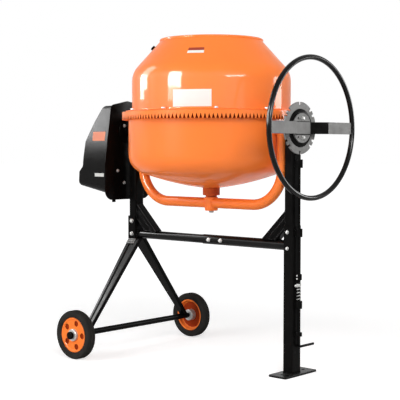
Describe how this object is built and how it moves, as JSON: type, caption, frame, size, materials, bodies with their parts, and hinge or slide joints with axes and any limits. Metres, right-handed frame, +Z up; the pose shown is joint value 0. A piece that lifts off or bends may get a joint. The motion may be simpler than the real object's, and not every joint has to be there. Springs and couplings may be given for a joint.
{
  "type": "concrete mixer",
  "caption": "Tilting-drum concrete mixer: orange drum on a yoke between black tube posts, ring gear and pinion drive, belt housing, handwheel with lock disc, wheels and foot.",
  "frame": {"origin": "on the floor, under the centre of the machine's bounding box", "axes": "+X along the tilting axis towards the handwheel, -Y the front of the machine, +Z up"},
  "size_m": [1.185, 0.7786, 1.3025],
  "materials": {
    "orange_paint": "gloss",
    "black_paint": "gloss",
    "grey_steel": "satin",
    "bright_steel": "satin",
    "tyre_rubber": "matte",
    "belt_rubber": "matte",
    "black_plastic": "satin",
    "green_plastic": "gloss",
    "red_plastic": "gloss"
  },
  "bodies": {
    "frame": {"left_upright": "black_paint", "right_upright": "black_paint", "left_crossbar": "black_paint", "right_crossbar": "black_paint", "left_brace": "black_paint", "right_brace": "black_paint", "leg_clamp": "black_paint", "front_leg": "black_paint", "rear_leg": "black_paint", "axle": "black_paint", "front_axle_cap": "black_paint", "rear_axle_cap": "black_paint", "stand_leg": "black_paint", "foot_plate": "black_paint", "left_bearing": "black_paint", "right_bearing": "black_paint", "back_plate": "black_paint", "drive_cover": "black_plastic", "motor": "black_paint", "drive_belt": "belt_rubber", "switch_box": "black_plastic", "power_inlet": "black_plastic", "upper_rod_guide": "black_paint", "middle_rod_guide": "black_paint", "spring_seat": "black_paint", "foot_rod_guide": "black_paint"},
    "yoke": {"yoke_left_arm": "orange_paint", "yoke_right_arm": "orange_paint", "yoke_hub": "orange_paint", "left_trunnion": "bright_steel", "right_trunnion": "bright_steel", "notched_disc": "grey_steel", "hub_plate": "black_paint", "hub_flange": "grey_steel", "handwheel_bar": "grey_steel", "handwheel_ring": "black_paint"},
    "drum": {"drum_bowl": "orange_paint", "drum_cone": "orange_paint", "ring_gear": "orange_paint", "drum_spindle": "orange_paint", "spindle_nut": "bright_steel", "front_blade": "orange_paint", "rear_blade": "orange_paint"},
    "pinion": {"pinion_shaft": "bright_steel", "pinion_gear": "bright_steel", "large_pulley": "black_paint"},
    "motor_rotor": {"motor_pulley": "bright_steel"},
    "lock": {"lock_rod": "black_paint", "lock_collar": "bright_steel", "lock_spring": "bright_steel"},
    "front_wheel": {"front_tyre": "tyre_rubber", "front_rim": "orange_paint"},
    "rear_wheel": {"rear_tyre": "tyre_rubber", "rear_rim": "orange_paint"},
    "start_button": {"start_button": "green_plastic"},
    "stop_button": {"stop_button": "red_plastic"}
  },
  "joints": [
    {"name": "tilt", "type": "hinge", "parent": "frame", "child": "yoke", "pos_m": [0.0803, 0, 0.9415], "axis": [1, 0, 0], "range_deg": [-120, 120]},
    {"name": "drum_spin", "type": "hinge", "parent": "yoke", "child": "drum", "pos_m": [0.0803, 0, 0.85], "axis": [0, 0, 1], "continuous": true},
    {"name": "pinion_spin", "type": "hinge", "parent": "yoke", "child": "pinion", "pos_m": [-0.2697, 0, 0.9415], "axis": [1, 0, 0], "continuous": true},
    {"name": "motor_spin", "type": "hinge", "parent": "frame", "child": "motor_rotor", "pos_m": [-0.4297, 0, 0.765], "axis": [1, 0, 0], "continuous": true},
    {"name": "lock_slide", "type": "slide", "parent": "frame", "child": "lock", "axis": [0, 0, 1], "range_m": [0, 0.01], "deforming": ["lock_spring"]},
    {"name": "front_wheel_spin", "type": "hinge", "parent": "frame", "child": "front_wheel", "pos_m": [-0.3517, -0.352, 0.1], "axis": [0, 1, 0], "continuous": true},
    {"name": "rear_wheel_spin", "type": "hinge", "parent": "frame", "child": "rear_wheel", "pos_m": [-0.3517, 0.352, 0.1], "axis": [0, 1, 0], "continuous": true},
    {"name": "start_press", "type": "slide", "parent": "frame", "child": "start_button", "axis": [0, 1, 0], "range_m": [-0.003, 0], "stiffness_N_per_m": 500},
    {"name": "stop_press", "type": "slide", "parent": "frame", "child": "stop_button", "axis": [0, 1, 0], "range_m": [-0.003, 0], "stiffness_N_per_m": 500}
  ],
  "couplings": [
    {"joint": "pinion_spin", "follows": "drum_spin", "ratio": 8.4706},
    {"joint": "motor_spin", "follows": "drum_spin", "ratio": 37.307}
  ]
}
